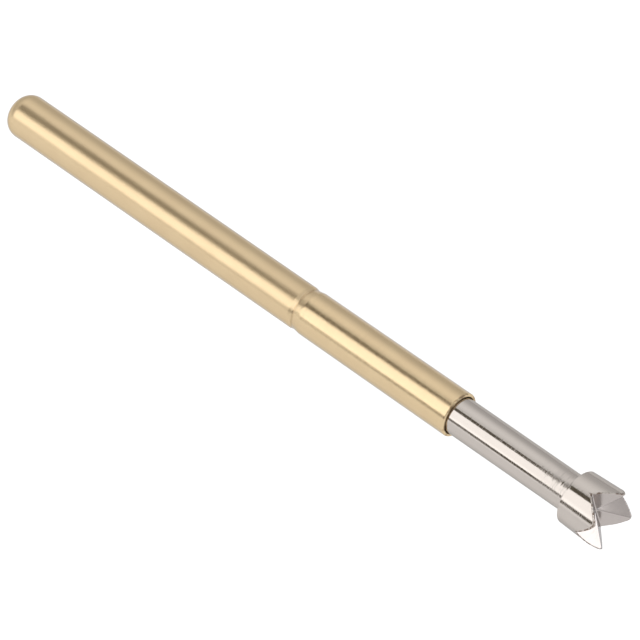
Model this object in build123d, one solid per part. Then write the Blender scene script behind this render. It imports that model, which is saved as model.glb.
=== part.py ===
from build123d import *
import os
from math import radians, sqrt, tan

os.makedirs("parts", exist_ok=True)

# All sizes are in millimetres. The pin lies along X and its crown points to +X.
# X = 0 is where the rounded rear end meets the straight seat of the barrel.

# Barrel, a thin tube drawn shut at the rear
seat_diameter = 1.02
wall = 0.06
barrel_length = 12.90
dome_depth = 0.41
dome_crown_rise = 0.05
end_wall = 0.09
front_step = 0.005
mouth_flare = 0.008
lip_outer_round = 0.045
lip_inner_round = 0.018

# Rolled crimp that keeps the plunger in
crimp_from_mouth = 4.43
crimp_length = 0.34
crimp_depth = 0.030

# Plunger, turned from one bar
rod_clearance = 0.015
rod_showing = 3.34
stroke = 2.65
waist_clearance = 0.09
waist_spare = 0.08
tail_clearance = 0.010
tail_length = 1.30
tail_chamfer = 0.05
stop_gap = 0.01

# Crown head of the plunger
head_back_diameter = 1.265
head_flared_diameter = 1.350
head_length = 1.03
head_back_round = 0.015
groove_depth = 0.52
groove_angle = 84.0
groove_root_round = 0.015
crown_turn = 15.0
cutter_overrun = 0.20

# Compression spring
wire_diameter = 0.12
spring_clearance = 0.035
spring_end_gap = 0.01
spring_turns = 16
wire_side_count = 6

seat_radius = seat_diameter / 2
bore_radius = seat_radius - wall
front_radius = seat_radius + front_step
mouth_radius = front_radius + mouth_flare
mouth_wall = mouth_radius - bore_radius
lip_outer = min(lip_outer_round, 0.65 * mouth_wall)
lip_inner = min(lip_inner_round, 0.30 * mouth_wall)
crimp_middle = barrel_length - crimp_from_mouth
crimp_start = crimp_middle - crimp_length / 2
crimp_end = crimp_middle + crimp_length / 2
crimp_floor_radius = seat_radius - crimp_depth
bead_radius = crimp_floor_radius - wall
inner_dome_depth = dome_depth - end_wall
dome_corner = dome_depth - dome_crown_rise
inner_dome_corner = inner_dome_depth - dome_crown_rise
rod_radius = bore_radius - rod_clearance
waist_radius = bead_radius - waist_clearance
tail_radius = bore_radius - tail_clearance
tail_front = crimp_start - stop_gap
tail_rear = tail_front - tail_length
guide_start = crimp_end + stroke + waist_spare
head_back = barrel_length + rod_showing
crown_end = head_back + head_length


def dome_points(depth, edge_radius, corner_radius):
    """Points on a domed end of two tangent arcs: the corner, then the crown of the dome."""
    corner = Vector(0, edge_radius - corner_radius)
    crown_radius = corner_radius**2 - depth**2 - corner.Y**2
    crown_radius = crown_radius / (2 * (corner_radius - depth))
    crown = Vector(crown_radius - depth, 0)
    towards_joint = (corner - crown).normalized()
    joint = crown + towards_joint * crown_radius
    on_corner = corner + (towards_joint + Vector(0, 1)).normalized() * corner_radius
    on_crown = crown + (towards_joint + Vector(-1, 0)).normalized() * crown_radius
    return Vector(0, edge_radius), on_corner, joint, on_crown, Vector(-depth, 0)


def barrel():
    """Tube with a domed rear end, a crimp rolled in from outside and a rounded lip."""
    outer = dome_points(dome_depth, seat_radius, dome_corner)
    inner = dome_points(inner_dome_depth, bore_radius, inner_dome_corner)
    lip_back_radius = mouth_radius - mouth_flare / (barrel_length - crimp_end) * lip_outer
    with BuildPart() as tube:
        with BuildSketch(Plane.XY):
            with BuildLine():
                ThreePointArc(outer[4], outer[3], outer[2])
                ThreePointArc(outer[2], outer[1], outer[0])
                Line((0, seat_radius), (crimp_start, seat_radius))
                ThreePointArc(
                    (crimp_start, seat_radius),
                    (crimp_middle, crimp_floor_radius),
                    (crimp_end, front_radius),
                )
                Line((crimp_end, front_radius), (barrel_length - lip_outer, lip_back_radius))
                RadiusArc(
                    (barrel_length - lip_outer, lip_back_radius),
                    (barrel_length, lip_back_radius - lip_outer),
                    lip_outer,
                )
                Line(
                    (barrel_length, lip_back_radius - lip_outer),
                    (barrel_length, bore_radius + lip_inner),
                )
                RadiusArc(
                    (barrel_length, bore_radius + lip_inner),
                    (barrel_length - lip_inner, bore_radius),
                    lip_inner,
                )
                Line((barrel_length - lip_inner, bore_radius), (crimp_end, bore_radius))
                ThreePointArc(
                    (crimp_end, bore_radius),
                    (crimp_middle, bead_radius),
                    (crimp_start, bore_radius),
                )
                Line((crimp_start, bore_radius), (0, bore_radius))
                ThreePointArc(inner[0], inner[1], inner[2])
                ThreePointArc(inner[2], inner[3], inner[4])
                Line((-inner_dome_depth, 0), (-dome_depth, 0))
            make_face()
        revolve(axis=Axis.X)
    return tube.part


def crown_grooves():
    """Two V grooves milled across the end at right angles, which leave four teeth."""
    half_width = groove_depth * tan(radians(groove_angle / 2))
    wide = half_width * (groove_depth + cutter_overrun) / groove_depth
    outside = crown_end + cutter_overrun
    root = crown_end - groove_depth
    with BuildPart() as cutter:
        with BuildSketch(Plane.XY):
            Polygon((root, 0), (outside, wide), (outside, -wide), align=None)
        extrude(amount=head_flared_diameter, both=True)
        root_edge = cutter.edges().filter_by(Axis.Z).sort_by(Axis.X)[0]
        fillet(root_edge, groove_root_round)
    first = cutter.part.rotate(Axis.X, crown_turn)
    return first + first.rotate(Axis.X, 90)


def plunger():
    """One turned piece: crown head, rod, waist under the crimp and a tail that stops on it."""
    with BuildPart() as turned:
        with BuildSketch(Plane.XY):
            with BuildLine():
                Polyline(
                    (tail_rear, 0),
                    (tail_rear, tail_radius - tail_chamfer),
                    (tail_rear + tail_chamfer, tail_radius),
                    (tail_front, tail_radius),
                    (tail_front, waist_radius),
                    (guide_start, waist_radius),
                    (guide_start, rod_radius - tail_chamfer),
                    (guide_start + tail_chamfer, rod_radius),
                    (head_back, rod_radius),
                    (head_back, head_back_diameter / 2),
                    (crown_end, head_flared_diameter / 2),
                    (crown_end, 0),
                    close=True,
                )
            make_face()
        revolve(axis=Axis.X)
        back_edge = turned.edges().filter_by(GeomType.CIRCLE).filter_by_position(
            Axis.X, head_back - 0.001, head_back + 0.001
        ).sort_by(SortBy.RADIUS)[-1]
        fillet(back_edge, head_back_round)
    return turned.part - crown_grooves()


def spring():
    """Wire coil with ends ground flat, from the closed end of the barrel to the tail.

    The round wire has six flats here, which keeps a long fine coil light.
    """
    coil_outer_radius = bore_radius - spring_clearance
    coil_radius = coil_outer_radius - wire_diameter / 2
    above_corner_centre = coil_outer_radius - (bore_radius - inner_dome_corner)
    start = spring_end_gap - sqrt(inner_dome_corner**2 - above_corner_centre**2)
    finish = tail_rear - spring_end_gap
    pitch = (finish - start) / spring_turns
    length = finish - start + wire_diameter
    path = Helix(pitch=pitch, height=length, radius=coil_radius)
    section = Plane(path @ 0, z_dir=path % 0) * RegularPolygon(wire_diameter / 2, wire_side_count)
    coil = sweep(section, path=path, is_frenet=True)
    coil = coil.rotate(Axis.Y, 90).moved(Location((start - wire_diameter / 2, 0, 0)))
    slab = Pos((start + finish) / 2, 0, 0) * Box(finish - start, seat_diameter, seat_diameter)
    return coil & slab


for name, make in (("barrel", barrel), ("plunger", plunger), ("spring", spring)):
    export_step(make(), "parts/" + name + ".step")
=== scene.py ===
import bmesh
import bpy
from math import cos, pi, radians, sin, sqrt, tan
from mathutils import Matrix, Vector


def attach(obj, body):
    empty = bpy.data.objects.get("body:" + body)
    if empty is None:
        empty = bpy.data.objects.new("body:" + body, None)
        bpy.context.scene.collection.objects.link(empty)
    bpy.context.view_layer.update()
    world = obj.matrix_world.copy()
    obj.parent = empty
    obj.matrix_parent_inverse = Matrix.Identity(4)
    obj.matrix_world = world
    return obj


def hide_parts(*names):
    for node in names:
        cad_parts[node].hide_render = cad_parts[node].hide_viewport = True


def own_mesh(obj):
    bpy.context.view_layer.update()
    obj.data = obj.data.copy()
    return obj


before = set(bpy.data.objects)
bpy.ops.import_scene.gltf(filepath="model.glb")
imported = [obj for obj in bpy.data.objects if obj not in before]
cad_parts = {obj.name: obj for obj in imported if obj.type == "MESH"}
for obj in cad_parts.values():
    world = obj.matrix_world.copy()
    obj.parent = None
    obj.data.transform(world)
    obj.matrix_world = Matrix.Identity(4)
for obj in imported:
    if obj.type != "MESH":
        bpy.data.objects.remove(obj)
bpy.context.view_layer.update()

# Camera
# A macro lens looks down on the pin from the crown's end and from its left, so that
# the pin runs from the upper left to the lower right of a square picture.
MM = 0.001
pin_middle = Vector((8.85, 0.0, 0.0)) * MM
towards_camera = Vector((0.4787, -0.4992, 0.7222)).normalized()
picture_up = (Vector((0, 0, 1)) - towards_camera * towards_camera.z).normalized()
picture_right = picture_up.cross(towards_camera)
lens_distance = 148.99
lens = bpy.data.cameras.new("camera")
lens.sensor_width = 36.0
lens.lens = 393.75
lens.clip_start = 0.005
lens.clip_end = 20.0
camera = bpy.data.objects.new("camera", lens)
bpy.context.scene.collection.objects.link(camera)

# The lens aims a hair left of and below the pin's middle, which frames it as in the photo.
right_and_up = picture_right * 0.573 + picture_up * 0.820
aim_offset = 0.0149
aim = pin_middle - right_and_up * aim_offset * MM
camera.location = aim + towards_camera * lens_distance * MM
camera.rotation_mode = "QUATERNION"
camera.rotation_quaternion = towards_camera.to_track_quat("Z", "Y")
bpy.context.scene.camera = camera
bpy.context.scene.view_settings.view_transform = "Standard"


# Floor
# A white matt table some way below the pin, which a socket would hold. To the lens and
# in the metal it looks as white as a lit table does in a picture, and it keeps the shadow.
def linear(colour):
    """A colour written as sRGB hex, in the linear values that Blender takes."""
    parts = [int(colour[i : i + 2], 16) / 255 for i in (1, 3, 5)]
    return [p / 12.92 if p <= 0.04045 else ((p + 0.055) / 1.055) ** 2.4 for p in parts] + [1.0]


def add(tree, kind, inputs=None, **settings):
    """A new node with its settings. Each input is a value, a socket or a node to link."""
    made = tree.nodes.new(kind)
    for name, value in settings.items():
        setattr(made, name, value)
    for name, value in (inputs or {}).items():
        if isinstance(value, bpy.types.Node):
            value = value.outputs[0]
        if isinstance(value, bpy.types.NodeSocket):
            tree.links.new(value, made.inputs[name])
        else:
            made.inputs[name].default_value = value
    return made


def new_material(name):
    """An empty node material and its tree."""
    material = bpy.data.materials.new(name)
    material.use_nodes = True
    material.node_tree.nodes.clear()
    return material, material.node_tree


def panel(name, corners, material):
    """A flat sheet with the given corners."""
    mesh = bpy.data.meshes.new(name)
    mesh.from_pydata(corners, [], [list(range(len(corners)))])
    sheet = bpy.data.objects.new(name, mesh)
    mesh.materials.append(material)
    bpy.context.scene.collection.objects.link(sheet)
    return sheet


# White emulsion paint, rolled on: even and matt. Seen by the lens or in the metal it is
# lifted to the white of the photograph's background, with no more light on the pin.
seen_lift = 0.42
mirrored_lift = 0.25
table_paint, tree = new_material("matt_white_paint")
rays = add(tree, "ShaderNodeLightPath").outputs
mirrored = add(
    tree, "ShaderNodeMath", {0: rays["Is Glossy Ray"], 1: rays["Is Transmission Ray"]},
    operation="ADD",
)
mirrored = add(tree, "ShaderNodeMath", {0: mirrored, 1: mirrored_lift}, operation="MULTIPLY")
lift = add(
    tree, "ShaderNodeMath", {0: rays["Is Camera Ray"], 1: seen_lift, 2: mirrored},
    operation="MULTIPLY_ADD",
)
paint = add(tree, "ShaderNodeBsdfDiffuse", {"Color": linear("#F2F2F2")})
glow = add(tree, "ShaderNodeEmission", {"Color": linear("#FFFFFF"), "Strength": lift})
both = add(tree, "ShaderNodeAddShader", {0: paint, 1: glow})
add(tree, "ShaderNodeOutputMaterial", {"Surface": both})

floor_depth = 12.0 * MM
floor_reach = 620.0 * MM
floor = panel(
    "floor",
    [(x * floor_reach, y * floor_reach, -floor_depth) for x, y in ((-1, -1), (1, -1), (1, 1), (-1, 1))],
    table_paint,
)


# Light
# A tall softbox stands at the camera's left. Two grey cards close to the pin trim it and
# give the metal its darker lines. A smaller softbox leans in from the right.
key_direction = Vector((-0.479, -0.717, 0.507)).normalized()
key_up = (Vector((0, 0, 1)) - key_direction * key_direction.z).normalized()
key_right = key_up.cross(key_direction)
key_distance = 300.0 * MM
side_direction = Vector((0.785, 0.235, 0.573)).normalized()
side_distance = 320.0 * MM


def softbox(name, direction, distance, width, height, radiance):
    """An area lamp that faces the pin and has the given brightness where it is seen."""
    lamp = bpy.data.lights.new(name, "AREA")
    lamp.shape = "RECTANGLE"
    lamp.size = width
    lamp.size_y = height
    lamp.energy = radiance * pi / 2 * width * height
    holder = bpy.data.objects.new(name, lamp)
    holder.location = pin_middle + direction * distance
    holder.rotation_mode = "QUATERNION"
    holder.rotation_quaternion = direction.to_track_quat("Z", "Y")
    holder.visible_camera = False
    bpy.context.scene.collection.objects.link(holder)
    return holder


key = softbox(
    "softbox_left", key_direction, key_distance,
    width=1.13 * key_distance, height=1.08 * key_distance, radiance=1.93,
)
key.location += (key_right * 0.185 + key_up * 0.21) * key_distance
softbox("softbox_right", side_direction, side_distance, width=50 * MM, height=130 * MM, radiance=3.6)

# Grey card, a dyed board: quite matt, so that in the metal it reads as a soft dark shape.
card_paint, tree = new_material("grey_card")
board = add(tree, "ShaderNodeBsdfDiffuse", {"Color": linear("#787163")})
add(tree, "ShaderNodeOutputMaterial", {"Surface": board})

# The cards' corners are given to the right and up, in shares of the distance to the pin.
card_distance = 60.0 * MM
card_above = (
    (-0.480, 0.190), (-0.270, 0.195), (-0.236, 0.275), (-0.212, 0.390), (-0.178, 0.455),
    (-0.110, 0.500), (-0.050, 0.560), (-0.095, 0.700), (-0.170, 0.820), (-0.295, 0.810),
    (-0.340, 0.742), (-0.382, 0.738), (-0.571, 0.837), (-0.700, 0.900), (-0.850, 0.950),
    (-0.800, 0.740), (-0.690, 0.560), (-0.570, 0.380),
)
card_below = (
    (0.122, -0.440), (0.160, -0.545), (0.190, -0.580), (0.230, -0.565), (0.700, -0.580),
    (0.700, -0.200), (0.250, -0.275), (0.205, -0.300), (0.178, -0.350), (0.130, -0.415),
)
for name, card_outline in {"card_above": card_above, "card_below": card_below}.items():
    corners = [
        pin_middle + (key_direction + key_right * right + key_up * up) * card_distance
        for right, up in card_outline
    ]
    sheet = panel(name, corners, card_paint)
    sheet.visible_camera = False

# The room is pale grey, lighter overhead, with a pale wall behind the left softbox and
# a faint bluish window far at the right. Each patch is the room seen near one direction.
room_level = 0.62
ceiling_towards = (-0.479, 0.291, 0.828)
ceiling_gain = 0.38
wall_towards = (-0.507, -0.862, 0.0)
wall_gain = 0.29
window_towards = (0.76, 0.62, 0.20)
window_gain = 0.07
world = bpy.data.worlds.new("pale_room")
bpy.context.scene.world = world
world.use_nodes = True
tree = world.node_tree
tree.nodes.clear()
looking = add(tree, "ShaderNodeTexCoord").outputs["Generated"]
ceiling = add(tree, "ShaderNodeVectorMath", {0: looking, 1: ceiling_towards}, operation="DOT_PRODUCT")
overhead = add(
    tree, "ShaderNodeMapRange", {"Value": ceiling.outputs["Value"], "From Min": 0.72, "From Max": 1.0}
)
overhead = add(tree, "ShaderNodeMath", {0: overhead, 1: 2.0}, operation="POWER")
room = add(tree, "ShaderNodeMath", {0: overhead, 1: ceiling_gain, 2: room_level}, operation="MULTIPLY_ADD")
wall = add(tree, "ShaderNodeVectorMath", {0: looking, 1: wall_towards}, operation="DOT_PRODUCT")
pale = add(
    tree, "ShaderNodeMapRange",
    {"Value": wall.outputs["Value"], "From Min": 0.90, "From Max": 0.98, "To Max": wall_gain},
)
room = add(tree, "ShaderNodeMath", {0: room, 1: pale}, operation="ADD")
window = add(tree, "ShaderNodeVectorMath", {0: looking, 1: window_towards}, operation="DOT_PRODUCT")
glare = add(
    tree, "ShaderNodeMapRange", {"Value": window.outputs["Value"], "From Min": 0.83, "From Max": 0.94}
)
room = add(tree, "ShaderNodeMath", {0: glare, 1: window_gain, 2: room}, operation="MULTIPLY_ADD")
shade = add(
    tree, "ShaderNodeMix", {"Factor": glare, "A": linear("#FFFFFF"), "B": linear("#E6F0FF")},
    data_type="RGBA",
)
walls = add(tree, "ShaderNodeBackground", {"Color": shade.outputs["Result"], "Strength": room})
add(tree, "ShaderNodeOutputWorld", {"Surface": walls})


# Barrel
# A thin nickel silver tube, drawn shut at the rear into a dome, with a hard gold plate.
# A crimp rolled in from outside keeps the plunger in, and the mouth has a rounded lip.

# In millimetres, with X = 0 where the dome meets the straight part.
seat_radius = 0.51
bore_radius = 0.45
barrel_length = 12.90
front_radius = 0.515
mouth_radius = 0.523
lip_outer_round = 0.045
lip_inner_round = 0.018
dome_depth = 0.41
dome_crown = 0.61
dome_corner = 0.36
dome_joint = 143.13
inner_dome_depth = 0.32
inner_dome_crown = 0.619
inner_dome_corner = 0.27
inner_dome_joint = 148.95
crimp_depth = 0.026
crimp_start = 8.34
crimp_floor = 8.45
crimp_end = 8.63
crimp_steps = 32
barrel_sides = 224


def arc(centre_x, centre_radius, size, start, finish, steps):
    """Points along an arc of the turned outline, with angles in degrees from +X."""
    angles = [radians(start + (finish - start) * i / steps) for i in range(steps + 1)]
    return [(centre_x + size * cos(a), centre_radius + size * sin(a)) for a in angles]


def turned(outline, angles):
    """Turns an outline of (x, radius) points, in millimetres, about the pin's axis."""
    bm = bmesh.new()
    rings = []
    for x, radius in outline:
        if radius < 1e-9:
            rings.append([bm.verts.new((x * MM, 0, 0))])
        else:
            rings.append([bm.verts.new((x * MM, radius * cos(a) * MM, radius * sin(a) * MM)) for a in angles])
    count = len(angles)
    for one, two in zip(rings, rings[1:]):
        for i in range(count):
            j = (i + 1) % count
            if len(one) == 1:
                bm.faces.new((one[0], two[j], two[i]))
            elif len(two) == 1:
                bm.faces.new((one[i], one[j], two[0]))
            else:
                bm.faces.new((one[i], one[j], two[j], two[i]))
    return bm, rings


def finished(name, bm, material):
    """Makes a smooth shaded object of the mesh."""
    bmesh.ops.recalc_face_normals(bm, faces=bm.faces)
    mesh = bpy.data.meshes.new(name)
    bm.to_mesh(mesh)
    bm.free()
    mesh.materials.append(material)
    mesh.shade_smooth()
    made = bpy.data.objects.new(name, mesh)
    bpy.context.scene.collection.objects.link(made)
    return made


# Hard gold, plated over nickel on a drawn and turned tube: pale yellow, satin behind the
# crimp, brighter in front of it, where turning lines stretch the glints round the tube.
gold, tree = new_material("hard_gold_plate")
place = add(tree, "ShaderNodeTexCoord").outputs["Object"]
in_mm = add(tree, "ShaderNodeVectorMath", {0: place, 1: (1000, 1000, 1000)}, operation="MULTIPLY")
along = add(tree, "ShaderNodeSeparateXYZ", {0: in_mm}).outputs["X"]

# The plate's colour drifts in clouds about 0.6 mm across.
gold_clouds_per_mm = 1.7
cloud = add(
    tree, "ShaderNodeTexNoise",
    {"Vector": in_mm, "Scale": gold_clouds_per_mm, "Detail": 3.0, "Roughness": 0.5},
)
tone = add(
    tree, "ShaderNodeMix", {"Factor": cloud, "A": linear("#DAC19B"), "B": linear("#E2CBA4")},
    data_type="RGBA",
)

# Real turning lines are some 0.01 mm apart, too fine to show. They are drawn 0.056 mm
# apart and 0.7 mm long round the tube.
turning_lines_per_mm = (18, 1.5, 1.5)
stretched = add(tree, "ShaderNodeVectorMath", {0: in_mm, 1: turning_lines_per_mm}, operation="MULTIPLY")
lines = add(
    tree, "ShaderNodeTexNoise", {"Vector": stretched, "Scale": 1.0, "Detail": 3.0, "Roughness": 0.6}
)
rear_to_front = {"Value": along, "From Min": 8.3, "From Max": 8.7}
satin = add(tree, "ShaderNodeMapRange", {**rear_to_front, "To Min": 0.29, "To Max": 0.165})
turned_part = add(tree, "ShaderNodeMapRange", {**rear_to_front, "To Min": 0.06, "To Max": 1.0})
lines = add(tree, "ShaderNodeMath", {0: lines, 1: turned_part}, operation="MULTIPLY")
rough = add(tree, "ShaderNodeMath", {0: lines, 1: 0.12, 2: satin}, operation="MULTIPLY_ADD")

# The skin waves by 1.5 thousandths of a millimetre every 0.2 mm, three times as deep on
# the rolled crimp. Drawing the tube left faint ridges along it, 0.25 mm apart, 2 mm long.
skin_waves_per_mm = 5.0
skin_depth = 1.5e-6
draw_ridges_per_mm = (0.5, 4.0, 4.0)
draw_depth = 4.0e-6
line_depth = 0.4e-6
peel = add(
    tree, "ShaderNodeTexNoise",
    {"Vector": in_mm, "Scale": skin_waves_per_mm, "Detail": 2.0, "Roughness": 0.5},
)
on_crimp = add(tree, "ShaderNodeMath", {0: along, 1: 8.48, 2: 0.24}, operation="COMPARE")
dented = add(tree, "ShaderNodeMath", {0: on_crimp, 1: 2.0, 2: 1.0}, operation="MULTIPLY_ADD")
dented = add(tree, "ShaderNodeMath", {0: dented, 1: peel}, operation="MULTIPLY")
skin = add(tree, "ShaderNodeBump", {"Height": dented, "Strength": 1.0, "Distance": skin_depth})
lengthwise = add(tree, "ShaderNodeVectorMath", {0: in_mm, 1: draw_ridges_per_mm}, operation="MULTIPLY")
drawn = add(
    tree, "ShaderNodeTexNoise", {"Vector": lengthwise, "Scale": 1.0, "Detail": 2.0, "Roughness": 0.5}
)
skin = add(
    tree, "ShaderNodeBump", {"Height": drawn, "Strength": 1.0, "Distance": draw_depth, "Normal": skin}
)
skin = add(
    tree, "ShaderNodeBump", {"Height": lines, "Strength": 1.0, "Distance": line_depth, "Normal": skin}
)

# The lip is worn brown in patches 0.14 mm across. The crimp's floor is darkened brown in a thin line of
# painted shade, in the same patches.
wear_patches_per_mm = 7.0
on_lip = add(tree, "ShaderNodeMapRange", {"Value": along, "From Min": 12.84, "From Max": 12.88})
patches = add(
    tree, "ShaderNodeTexNoise",
    {"Vector": in_mm, "Scale": wear_patches_per_mm, "Detail": 3.0, "Roughness": 0.6},
)
wear_and_painted_shade = add(
    tree, "ShaderNodeMapRange", {"Value": patches, "From Min": 0.50, "From Max": 0.62, "To Max": 0.75}
)
wear_and_painted_shade = add(tree, "ShaderNodeMath", {0: wear_and_painted_shade, 1: on_lip}, operation="MULTIPLY")
tone = add(
    tree, "ShaderNodeMix", {"Factor": wear_and_painted_shade, "A": tone.outputs["Result"], "B": linear("#8F7355")},
    data_type="RGBA",
)
# Painted shade: a thin brown line along the crimp's floor, where the valley reflects darker.
crimp_painted_shade = add(tree, "ShaderNodeMath", {0: along, 1: -8.455}, operation="ADD")
crimp_painted_shade = add(tree, "ShaderNodeMath", {0: crimp_painted_shade}, operation="ABSOLUTE")
crimp_painted_shade = add(
    tree, "ShaderNodeMapRange", {"Value": crimp_painted_shade, "From Min": 0.045, "From Max": 0.01, "To Max": 0.5}
)
crimp_painted_shade = add(tree, "ShaderNodeMath", {0: crimp_painted_shade, 1: patches}, operation="MULTIPLY")
tone = add(
    tree, "ShaderNodeMix", {"Factor": crimp_painted_shade, "A": tone.outputs["Result"], "B": linear("#8F6A48")},
    data_type="RGBA",
)

# Painted reflection: at a low angle, by the outline, the gold is mixed towards white, as if the plate
# mirrored white there.
facing = add(tree, "ShaderNodeLayerWeight", {"Blend": 0.5}).outputs["Facing"]
painted_grazing_reflection = add(tree, "ShaderNodeMapRange", {"Value": facing, "From Min": 0.62, "From Max": 1.0, "To Max": 0.75})
tone = add(
    tree, "ShaderNodeMix", {"Factor": painted_grazing_reflection, "A": tone.outputs["Result"], "B": linear("#F2EEF0")},
    data_type="RGBA",
)
surface = add(
    tree,
    "ShaderNodeBsdfPrincipled",
    {
        "Base Color": tone.outputs["Result"],
        "Metallic": 1.0,
        "Roughness": rough,
        "Specular Tint": linear("#D0D0D0"),
        "Normal": skin,
    },
)
add(tree, "ShaderNodeOutputMaterial", {"Surface": surface})

# The outline runs from the dome to the lip and back through the bore.
dome_centre = dome_crown - dome_depth
outline = arc(dome_centre, 0.0, dome_crown, 180.0, dome_joint, 14)
outline += arc(0.0, seat_radius - dome_corner, dome_corner, dome_joint, 90.0, 20)[1:]
outline[0] = (-dome_depth, 0.0)
outline += [(x, seat_radius) for x in (0.02, 0.06, 0.2, 1.0, 2.5, 4.0, 5.5, 7.0, 8.0, 8.2, 8.28, 8.325)]
for i in range(crimp_steps + 1):
    x = crimp_start + (crimp_end - crimp_start) * i / crimp_steps
    sunk = min((x - crimp_start) / (crimp_floor - crimp_start), (crimp_end - x) / (crimp_end - crimp_floor))
    base = seat_radius + (front_radius - seat_radius) * (x - crimp_start) / (crimp_end - crimp_start)
    outline.append((x, base - crimp_depth * sunk))
lip = barrel_length - lip_outer_round
widening = (mouth_radius - front_radius) / (barrel_length - crimp_end)
for x in (8.66, 8.74, 9.0, 10.0, 11.0, 12.0, 12.6, 12.8, lip - 0.01):
    outline.append((x, front_radius + widening * (x - crimp_end)))
outline += arc(lip, mouth_radius - lip_outer_round, lip_outer_round, 90.0, 0.0, 8)
mouth = barrel_length - lip_inner_round
outline += arc(mouth, bore_radius + lip_inner_round, lip_inner_round, 360.0, 270.0, 5)
bead = [(8.55, 0.432), (8.47, 0.42), (8.39, 0.432)]
outline += [(x, bore_radius) for x in (12.85, 12.6, 11.0, 9.0, 8.7, 8.64)] + bead
outline += [(x, bore_radius) for x in (8.30, 8.2, 6.0, 3.0, 0.5, 0.05)]
outline += arc(0.0, bore_radius - inner_dome_corner, inner_dome_corner, 90.0, inner_dome_joint, 10)
inner_centre = inner_dome_crown - inner_dome_depth
outline += arc(inner_centre, 0.0, inner_dome_crown, inner_dome_joint, 180.0, 8)[1:]
outline[-1] = (-inner_dome_depth, 0.0)
bm, rings = turned(outline, [2 * pi * i / barrel_sides for i in range(barrel_sides)])
barrel = finished("gold_barrel", bm, gold)
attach(barrel, "barrel")
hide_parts("barrel")


# Plunger
# Turned from one bar and plated silver white: a crown head on a rod that slides in the
# bore, a thin waist under the crimp and a tail that stops on it. Two V grooves milled
# across the head at right angles leave four teeth.
rod_radius = 0.435
waist_radius = 0.33
tail_radius = 0.44
tail_rear = 6.99
tail_front = 8.29
guide_start = 11.37
chamfer = 0.05
rod_corner_round = 0.012
head_back = 16.24
crown_end = 17.27
head_back_radius = 0.6325
head_flared_radius = 0.675
head_back_round = 0.015
groove_depth = 0.52
groove_half_angle = radians(42.0)
groove_root_round = 0.015
groove_wheel = 8.0
crown_turn = radians(15.0)
edge_round = 0.022
ridge_round = 0.008
tip_round = 0.02

# Hard silver-white plate over turned copper alloy: a near mirror, faintly warm, that
# shows the tool's lines where the rod runs into the head, and a burr by each cut
# whose dark patches are partly a real burr and partly painted shade.
plate, tree = new_material("silver_white_plate")
place = add(tree, "ShaderNodeTexCoord").outputs["Object"]
in_mm = add(tree, "ShaderNodeVectorMath", {0: place, 1: (1000, 1000, 1000)}, operation="MULTIPLY")
along = add(tree, "ShaderNodeSeparateXYZ", {0: in_mm}).outputs["X"]

# The plate's colour drifts in clouds a little under 0.5 mm across.
plate_clouds_per_mm = 2.2
cloud = add(
    tree, "ShaderNodeTexNoise",
    {"Vector": in_mm, "Scale": plate_clouds_per_mm, "Detail": 3.0, "Roughness": 0.5},
)
tone = add(
    tree, "ShaderNodeMix", {"Factor": cloud, "A": linear("#C6BEB7"), "B": linear("#CCC4BD")},
    data_type="RGBA",
)

# The tool's lines by the head are 0.02 mm apart, 0.3 mm long, and fade out along the rod.
tool_lines_per_mm = (50, 3.0, 3.0)
stretched = add(tree, "ShaderNodeVectorMath", {0: in_mm, 1: tool_lines_per_mm}, operation="MULTIPLY")
lines = add(
    tree, "ShaderNodeTexNoise", {"Vector": stretched, "Scale": 1.0, "Detail": 1.0, "Roughness": 0.5}
)
rough = add(
    tree, "ShaderNodeMapRange",
    {"Value": lines, "From Min": 0.3, "From Max": 0.7, "To Min": 0.07, "To Max": 0.12},
)
near_head = add(
    tree, "ShaderNodeMapRange",
    {"Value": along, "From Min": 15.3, "From Max": 15.9, "To Min": 0.1, "To Max": 0.6},
)
past_head = add(
    tree, "ShaderNodeMapRange",
    {"Value": along, "From Min": 16.22, "From Max": 16.30, "To Min": 1.0, "To Max": 0.12},
)
cut_deep = add(tree, "ShaderNodeMath", {0: near_head, 1: past_head}, operation="MULTIPLY")
cut_deep = add(tree, "ShaderNodeMath", {0: cut_deep, 1: lines}, operation="MULTIPLY")

# The mill leaves a burr of crumbs 0.06 mm across on the edges of its cuts.
burr_crumbs_per_mm = 16.0
plate_depth = 16.0e-6
edges = add(tree, "ShaderNodeAttribute", attribute_name="cut_edge").outputs["Fac"]
burr = add(
    tree, "ShaderNodeTexNoise",
    {"Vector": in_mm, "Scale": burr_crumbs_per_mm, "Detail": 3.0, "Roughness": 0.6},
)
raised = add(tree, "ShaderNodeMath", {0: burr, 1: edges}, operation="MULTIPLY")
height = add(tree, "ShaderNodeMath", {0: cut_deep, 1: raised}, operation="ADD")
skin = add(tree, "ShaderNodeBump", {"Height": height, "Strength": 1.0, "Distance": plate_depth})
# The crumbs darken the edges' colour in patches: partly a dark burr, partly painted shade on the rims.
wear_and_painted_shade = add(tree, "ShaderNodeMapRange", {"Value": burr, "From Min": 0.48, "From Max": 0.56, "To Max": 0.85})
wear_and_painted_shade = add(tree, "ShaderNodeMath", {0: wear_and_painted_shade, 1: edges}, operation="MULTIPLY")
tone = add(
    tree, "ShaderNodeMix", {"Factor": wear_and_painted_shade, "A": tone.outputs["Result"], "B": linear("#6E5747")},
    data_type="RGBA",
)
surface = add(
    tree,
    "ShaderNodeBsdfPrincipled",
    {
        "Base Color": tone.outputs["Result"],
        "Metallic": 1.0,
        "Roughness": rough,
        "Specular Tint": linear("#C8C8C8"),
        "Normal": skin,
    },
)
add(tree, "ShaderNodeOutputMaterial", {"Surface": surface})

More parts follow.
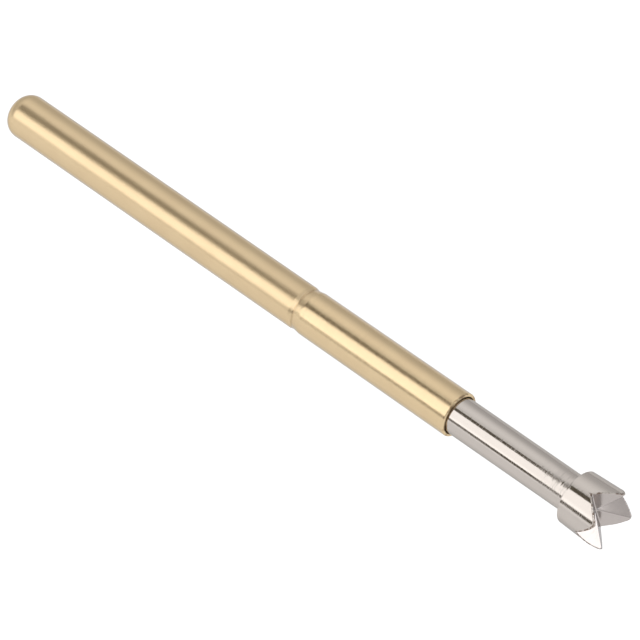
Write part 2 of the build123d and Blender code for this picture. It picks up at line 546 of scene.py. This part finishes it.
# The same plate on the milled walls of the teeth: a shade darker and more satin, with
# clouds 0.2 mm across. The mill's marks are too fine to show, and are drawn 0.025 mm
# apart and 0.5 mm long.
milled, tree = new_material("milled_silver_white_plate")
place = add(tree, "ShaderNodeTexCoord").outputs["Object"]
in_mm = add(tree, "ShaderNodeVectorMath", {0: place, 1: (1000, 1000, 1000)}, operation="MULTIPLY")
milled_clouds_per_mm = 5.0
mill_marks_per_mm = (40, 2.0, 2.0)
mill_depth = 0.15e-6
cloud = add(
    tree, "ShaderNodeTexNoise",
    {"Vector": in_mm, "Scale": milled_clouds_per_mm, "Detail": 3.0, "Roughness": 0.5},
)
tone = add(
    tree, "ShaderNodeMix", {"Factor": cloud, "A": linear("#BBB3AF"), "B": linear("#C2BAB6")},
    data_type="RGBA",
)
stretched = add(tree, "ShaderNodeVectorMath", {0: in_mm, 1: mill_marks_per_mm}, operation="MULTIPLY")
lines = add(
    tree, "ShaderNodeTexNoise", {"Vector": stretched, "Scale": 1.0, "Detail": 2.0, "Roughness": 0.6}
)
rough = add(
    tree, "ShaderNodeMapRange",
    {"Value": lines, "From Min": 0.3, "From Max": 0.7, "To Min": 0.13, "To Max": 0.17},
)
skin = add(tree, "ShaderNodeBump", {"Height": lines, "Strength": 1.0, "Distance": mill_depth})
surface = add(
    tree,
    "ShaderNodeBsdfPrincipled",
    {
        "Base Color": tone.outputs["Result"],
        "Metallic": 1.0,
        "Roughness": rough,
        "Specular Tint": linear("#D0D0D0"),
        "Normal": skin,
    },
)
add(tree, "ShaderNodeOutputMaterial", {"Surface": surface})

# Columns of points stand closest by the groove roots and the ridges of the teeth.
offsets = [0.0, 0.5, 1.1, 1.9, 3.0, 4.6, 7.0, 10.0, 13.5, 17.0, 20.0]
sector = offsets + [22.5] + [45.0 - o for o in reversed(offsets)]
crown_angles = [crown_turn + radians(45.0 * k + o) for k in range(8) for o in sector[:-1]]
flare = (head_flared_radius - head_back_radius) / (crown_end - head_back)

# How far a rounded corner stands in from the sharp one, in shares of the round's size.
corner_share = 0.41


def softened(value, size):
    """The value's distance from zero, with the sharp turn at zero rounded."""
    return sqrt(value * value + size * size) - size * corner_share


def side_radius(x):
    """The radius of the head's flared side, at a place along X."""
    return head_back_radius + (x - head_back) * flare


def end_height(radius, angle):
    """How far along X the crown's end lies, at a radius and an angle.

    Each groove's root rises a hair from the centre to the rim, on an arc of groove_wheel.
    """
    one = radius * cos(angle - crown_turn)
    two = radius * sin(angle - crown_turn)
    cuts = [
        softened(across, groove_root_round) / tan(groove_half_angle) + length**2 / (2 * groove_wheel)
        for across, length in ((one, two), (two, one))
    ]
    lower = (cuts[0] + cuts[1] - sqrt((cuts[0] - cuts[1]) ** 2 + ridge_round**2)) / 2
    spare = groove_depth - lower
    return crown_end - softened(max(spare, 0.0), tip_round) - corner_share * tip_round


def rim(angle):
    """The radius at which the crown's end meets the flared side of the head."""
    radius = head_flared_radius
    for step in range(12):
        radius = side_radius(end_height(radius, angle))
    return radius


tail_outline = [
    (tail_rear, 0.0),
    (tail_rear, 0.36),
    (tail_rear, 0.385),
    (tail_rear + 0.005, 0.395),
    (tail_rear + 0.045, 0.435),
    (tail_rear + 0.055, tail_radius),
    (tail_rear + 0.1, tail_radius),
    (tail_front - 0.1, tail_radius),
    (tail_front - 0.01, tail_radius),
    (tail_front, tail_radius - 0.01),
]
waist_outline = [
    (tail_front, waist_radius + 0.02),
    (tail_front, waist_radius),
    (tail_front + 0.02, waist_radius),
    (guide_start - 0.02, waist_radius),
    (guide_start, waist_radius),
    (guide_start, waist_radius + 0.02),
]
rod_outline = [
    (guide_start, rod_radius - chamfer - 0.005),
    (guide_start + 0.005, rod_radius - chamfer + 0.003),
    (guide_start + 0.045, rod_radius - 0.003),
    (guide_start + 0.055, rod_radius),
    (guide_start + 0.1, rod_radius),
]
rod_outline += [(x, rod_radius) for x in (12.5, 13.5, 14.5, 15.5, 16.1, 16.2, 16.225)]
corner = rod_corner_round
head_outline = arc(head_back - corner, rod_radius + corner, corner, 270.0, 360.0, 4)
head_outline += [(head_back, rod_radius + 0.03), (head_back, 0.52)]
side_start = head_back + head_back_round
head_outline += arc(side_start, head_back_radius - head_back_round, head_back_round, 180.0, 92.4, 8)
bm, rings = turned(tail_outline + waist_outline + rod_outline + head_outline, crown_angles)

# Up the side of each column, round its edge, and down the milled wall to the centre.
side_shares = (0.15, 0.35, 0.6, 0.8, 0.92)
bend_steps = 4
wall_steps = (1.6, 3.0, 6.0)
wall_shares = (0.85, 0.7, 0.55, 0.4, 0.27, 0.16, 0.08, 0.03)
columns = []
for angle in crown_angles:
    edge = rim(angle)
    top = end_height(edge, angle)
    stations = [side_start + 0.02] + [side_start + (top - side_start) * share for share in side_shares]
    column = [(x, side_radius(x)) for x in stations]
    below = (top - edge_round, side_radius(top - edge_round))
    inside = (end_height(edge - edge_round, angle), edge - edge_round)
    column.append((below[0] - edge_round, below[1] - edge_round * flare))
    for i in range(bend_steps + 1):
        f = i / bend_steps
        bend = [
            (1 - f) ** 2 * start + 2 * f * (1 - f) * middle + f * f * end
            for start, middle, end in zip(below, (top, edge), inside)
        ]
        column.append(tuple(bend))
    wall_radii = [edge - edge_round * k for k in wall_steps]
    wall_radii += [wall_radii[-1] * share for share in wall_shares]
    column += [(end_height(radius, angle), radius) for radius in wall_radii]
    columns.append(column)
milled_from = len(side_shares) + bend_steps + 3
burr_rows = 7
near_cut = [0.0] * len(bm.verts)
count = len(crown_angles)
last = rings[-1]
for row in range(len(columns[0])):
    ring = []
    for angle, column in zip(crown_angles, columns):
        x, radius = column[row]
        ring.append(bm.verts.new((x * MM, radius * cos(angle) * MM, radius * sin(angle) * MM)))
        near_cut.append(float(milled_from - burr_rows < row <= milled_from))
    for i in range(count):
        j = (i + 1) % count
        wall = bm.faces.new((last[i], last[j], ring[j], ring[i]))
        wall.material_index = int(row >= milled_from)
    last = ring
centre = bm.verts.new((end_height(0.0, 0.0) * MM, 0, 0))
near_cut.append(0.0)
for i in range(count):
    bm.faces.new((last[i], last[(i + 1) % count], centre)).material_index = 1
plunger = finished("crown_plunger", bm, plate)
plunger.data.attributes.new("cut_edge", "FLOAT", "POINT").data.foreach_set("value", near_cut)
plunger.data.materials.append(milled)
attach(plunger, "plunger")
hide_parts("plunger")


# Spring
# A coil of drawn steel wire with ends ground flat, shut in between the domed end of the
# barrel and the plunger's tail. It shortens as the plunger is pressed in.
wire_radius = 0.06
coil_radius = 0.355
spring_start = -0.1229
spring_finish = 6.98
spring_turns = 16
turn_steps = 36
wire_sides = 12

# Spring steel, cold drawn through a die: bright grey, with faint dents 0.1 mm across.
wire_dents_per_mm = 9.0
dent_depth = 0.6e-6
wire, tree = new_material("drawn_spring_wire")
place = add(tree, "ShaderNodeTexCoord").outputs["Object"]
in_mm = add(tree, "ShaderNodeVectorMath", {0: place, 1: (1000, 1000, 1000)}, operation="MULTIPLY")
cloud = add(tree, "ShaderNodeTexNoise", {"Vector": in_mm, "Scale": wire_dents_per_mm, "Detail": 4.0})
tone = add(
    tree, "ShaderNodeMix", {"Factor": cloud, "A": linear("#B9BABD"), "B": linear("#CFCFD1")},
    data_type="RGBA",
)
rough = add(tree, "ShaderNodeMapRange", {"Value": cloud, "To Min": 0.22, "To Max": 0.34})
skin = add(tree, "ShaderNodeBump", {"Height": cloud, "Strength": 1.0, "Distance": dent_depth})
surface = add(
    tree, "ShaderNodeBsdfPrincipled",
    {"Base Color": tone.outputs["Result"], "Metallic": 1.0, "Roughness": rough, "Normal": skin},
)
add(tree, "ShaderNodeOutputMaterial", {"Surface": surface})

bm = bmesh.new()
spring_length = spring_finish - spring_start
pitch = spring_length / spring_turns
wire_length = spring_length + 2 * wire_radius
slant = sqrt(coil_radius**2 + (pitch / (2 * pi)) ** 2)
last = None
for step in range(int(wire_length / pitch * turn_steps) + 1):
    turn = 2 * pi * step / turn_steps
    x = spring_start - wire_radius + pitch * turn / (2 * pi)
    out = Vector((0, cos(turn), sin(turn)))
    forward = Vector((pitch / (2 * pi), -coil_radius * sin(turn), coil_radius * cos(turn))) / slant
    side = forward.cross(out)
    ring = []
    for i in range(wire_sides):
        a = 2 * pi * i / wire_sides
        point = Vector((x, 0, 0)) + out * (coil_radius + wire_radius * cos(a)) + side * wire_radius * sin(a)
        point.x = min(max(point.x, spring_start), spring_finish)
        ring.append(bm.verts.new(point * MM))
    if last:
        for i in range(wire_sides):
            j = (i + 1) % wire_sides
            bm.faces.new((last[i], last[j], ring[j], ring[i]))
    else:
        bm.faces.new(list(reversed(ring)))
    last = ring
bm.faces.new(last)
spring = finished("coil_spring", bm, wire)
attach(spring, "spring")
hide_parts("spring")
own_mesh(spring)
